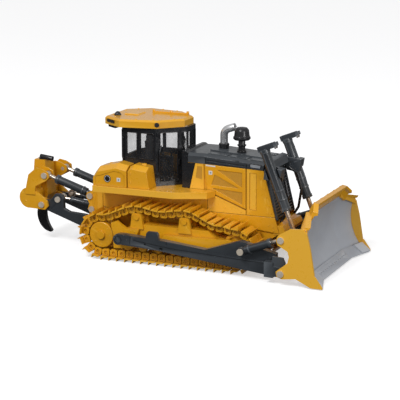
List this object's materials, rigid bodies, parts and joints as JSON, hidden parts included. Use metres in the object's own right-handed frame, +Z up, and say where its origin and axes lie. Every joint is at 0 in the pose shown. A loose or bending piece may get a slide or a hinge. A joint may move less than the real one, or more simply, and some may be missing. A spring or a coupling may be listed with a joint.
{
  "type": "toy bulldozer",
  "caption": "Die-cast scale-model crawler bulldozer with a lifting blade, a parallel-linkage rear ripper and wheels that turn inside the tracks.",
  "frame": {"origin": "on the ground under the middle of the overall box", "axes": "+X forward towards the blade, +Y to the machine's left, +Z up"},
  "size_m": [0.1726, 0.0784, 0.0714],
  "materials": {
    "yellow_paint": "glossy industrial yellow enamel over die-cast metal",
    "slate_paint": "semi-gloss dark slate grey enamel",
    "blade_grey": "satin light grey paint",
    "bright_metal": "nickel plated",
    "chrome_rods": "polished",
    "black_plastic": "gloss black moulding",
    "cab_glazing": "clear moulded window plastic",
    "seat_plastic": "matt",
    "lamp_plastic": "gloss"
  },
  "bodies": {
    "root": {"chassis": "yellow_paint", "side_skirts": "yellow_paint", "base_screws": "bright_metal", "front_crossbar": "yellow_paint", "fenders": "yellow_paint", "rear_frame": "yellow_paint", "chassis_pins": "bright_metal", "fuel_tanks": "yellow_paint", "battery_boxes": "yellow_paint", "engine_panels": "yellow_paint", "engine_doors": "yellow_paint", "hood": "slate_paint", "cab_cowl": "black_plastic", "radiator_grille": "slate_paint", "exhaust_sleeve": "black_plastic", "exhaust_pipe": "bright_metal", "air_pre_cleaner": "black_plastic", "front_hoses": "black_plastic", "cab_shell": "black_plastic", "cab_glass": "cab_glazing", "operator_seat": "seat_plastic", "cab_controls": "black_plastic", "cab_roof": "yellow_paint", "roof_lights": "lamp_plastic", "lift_yokes": "slate_paint", "track_frame_right": "yellow_paint", "track_frame_left": "yellow_paint", "track_chain_right": "yellow_paint", "track_chain_left": "yellow_paint", "track_pins": "yellow_paint"},
    "push_arms": {"push_arm_right": "slate_paint", "push_arm_left": "slate_paint", "tilt_rear_pins": "bright_metal"},
    "blade": {"blade_face": "blade_grey", "mouldboard": "yellow_paint", "spill_guard": "yellow_paint", "blade_end_plates": "yellow_paint", "blade_pins": "bright_metal", "cutting_edge": "blade_grey"},
    "lift_barrels": {"lift_barrels": "slate_paint"},
    "lift_rods": {"lift_rods": "chrome_rods"},
    "tilt_barrels": {"tilt_barrels": "slate_paint"},
    "tilt_rods": {"tilt_rods": "chrome_rods"},
    "ripper_arms": {"ripper_arms": "slate_paint", "ripper_mid_pins": "bright_metal"},
    "ripper_beam": {"ripper_beam": "yellow_paint", "ripper_beam_pins": "bright_metal", "ripper_shank": "black_plastic"},
    "pitch_links": {"pitch_barrels": "slate_paint", "pitch_rods": "chrome_rods"},
    "dig_barrels": {"dig_barrels": "slate_paint"},
    "dig_rods": {"dig_rods": "chrome_rods"},
    "sprocket_right": {"sprocket_right": "yellow_paint"},
    "idler_right": {"idler_right": "yellow_paint"},
    "carrier_roller_front_right": {"carrier_roller_front_right": "yellow_paint"},
    "carrier_roller_rear_right": {"carrier_roller_rear_right": "yellow_paint"},
    "sprocket_left": {"sprocket_left": "yellow_paint"},
    "idler_left": {"idler_left": "yellow_paint"},
    "carrier_roller_front_left": {"carrier_roller_front_left": "yellow_paint"},
    "carrier_roller_rear_left": {"carrier_roller_rear_left": "yellow_paint"}
  },
  "joints": [
    {"name": "blade_lift", "type": "hinge", "parent": "root", "child": "push_arms", "pos_m": [-0.0201, 0, 0.0127], "axis": [0, -1, 0], "range_deg": [-3, 8]},
    {"name": "blade_pitch", "type": "hinge", "parent": "push_arms", "child": "blade", "pos_m": [0.0658, 0, 0.0058], "axis": [0, 1, 0], "range_deg": [-2, 2]},
    {"name": "lift_barrel_pivot", "type": "hinge", "parent": "root", "child": "lift_barrels", "pos_m": [0.0534, 0, 0.0479], "axis": [0, -1, 0], "range_deg": [-2.9, 7.7]},
    {"name": "lift_rod_slide", "type": "slide", "parent": "lift_barrels", "child": "lift_rods", "axis": [0.3682, 0, -0.9297], "range_m": [-0.0115, 0.0044]},
    {"name": "tilt_barrel_pivot", "type": "hinge", "parent": "push_arms", "child": "tilt_barrels", "pos_m": [0.0453, 0, 0.014], "axis": [0, 1, 0], "range_deg": [-0.6, 0.6]},
    {"name": "tilt_rod_slide", "type": "slide", "parent": "tilt_barrels", "child": "tilt_rods", "axis": [0.9346, 0, 0.3556], "range_m": [-0.0006, 0.0006]},
    {"name": "ripper_lift", "type": "hinge", "parent": "root", "child": "ripper_arms", "pos_m": [-0.0474, 0, 0.0128], "axis": [0, 1, 0], "range_deg": [-8, 15]},
    {"name": "ripper_beam_pivot", "type": "hinge", "parent": "ripper_arms", "child": "ripper_beam", "pos_m": [-0.0735, 0, 0.021], "axis": [0, 1, 0], "range_deg": [-15.2, 8.2]},
    {"name": "pitch_link_pivot", "type": "hinge", "parent": "root", "child": "pitch_links", "pos_m": [-0.0452, 0, 0.0282], "axis": [0, 1, 0], "range_deg": [-8.2, 15.2]},
    {"name": "dig_barrel_pivot", "type": "hinge", "parent": "root", "child": "dig_barrels", "pos_m": [-0.0443, 0, 0.0215], "axis": [0, 1, 0], "range_deg": [-7.5, 14]},
    {"name": "dig_rod_slide", "type": "slide", "parent": "dig_barrels", "child": "dig_rods", "axis": [-0.9922, 0, 0.1246], "range_m": [-0.0025, 0.0014]},
    {"name": "sprocket_right_spin", "type": "hinge", "parent": "root", "child": "sprocket_right", "pos_m": [-0.0327, -0.0219, 0.0123], "axis": [0, 1, 0], "continuous": true},
    {"name": "idler_right_spin", "type": "hinge", "parent": "root", "child": "idler_right", "pos_m": [0.0383, -0.0219, 0.0119], "axis": [0, 1, 0], "continuous": true},
    {"name": "carrier_roller_front_right_spin", "type": "hinge", "parent": "root", "child": "carrier_roller_front_right", "pos_m": [0.0119, -0.0219, 0.0228], "axis": [0, 1, 0], "continuous": true},
    {"name": "carrier_roller_rear_right_spin", "type": "hinge", "parent": "root", "child": "carrier_roller_rear_right", "pos_m": [-0.0135, -0.0219, 0.0228], "axis": [0, 1, 0], "continuous": true},
    {"name": "sprocket_left_spin", "type": "hinge", "parent": "root", "child": "sprocket_left", "pos_m": [-0.0327, 0.0219, 0.0123], "axis": [0, 1, 0], "continuous": true},
    {"name": "idler_left_spin", "type": "hinge", "parent": "root", "child": "idler_left", "pos_m": [0.0383, 0.0219, 0.0119], "axis": [0, 1, 0], "continuous": true},
    {"name": "carrier_roller_front_left_spin", "type": "hinge", "parent": "root", "child": "carrier_roller_front_left", "pos_m": [0.0119, 0.0219, 0.0228], "axis": [0, 1, 0], "continuous": true},
    {"name": "carrier_roller_rear_left_spin", "type": "hinge", "parent": "root", "child": "carrier_roller_rear_left", "pos_m": [-0.0135, 0.0219, 0.0228], "axis": [0, 1, 0], "continuous": true}
  ],
  "couplings": [
    {"joint": "lift_barrel_pivot", "follows": "blade_lift", "ratio": 0.95},
    {"joint": "lift_rod_slide", "follows": "blade_lift", "m_per_rad": -0.0813},
    {"joint": "tilt_barrel_pivot", "follows": "blade_pitch", "ratio": 0.26},
    {"joint": "tilt_rod_slide", "follows": "blade_pitch", "m_per_rad": 0.01496},
    {"joint": "ripper_beam_pivot", "follows": "ripper_lift", "ratio": -1},
    {"joint": "pitch_link_pivot", "follows": "ripper_lift", "ratio": 1},
    {"joint": "dig_barrel_pivot", "follows": "ripper_lift", "ratio": 0.92},
    {"joint": "dig_rod_slide", "follows": "ripper_lift", "m_per_rad": -0.00902},
    {"joint": "idler_right_spin", "follows": "sprocket_right_spin", "ratio": 1.05},
    {"joint": "carrier_roller_front_right_spin", "follows": "sprocket_right_spin", "ratio": 3.2},
    {"joint": "carrier_roller_rear_right_spin", "follows": "sprocket_right_spin", "ratio": 3.2},
    {"joint": "idler_left_spin", "follows": "sprocket_left_spin", "ratio": 1.05},
    {"joint": "carrier_roller_front_left_spin", "follows": "sprocket_left_spin", "ratio": 3.2},
    {"joint": "carrier_roller_rear_left_spin", "follows": "sprocket_left_spin", "ratio": 3.2}
  ]
}
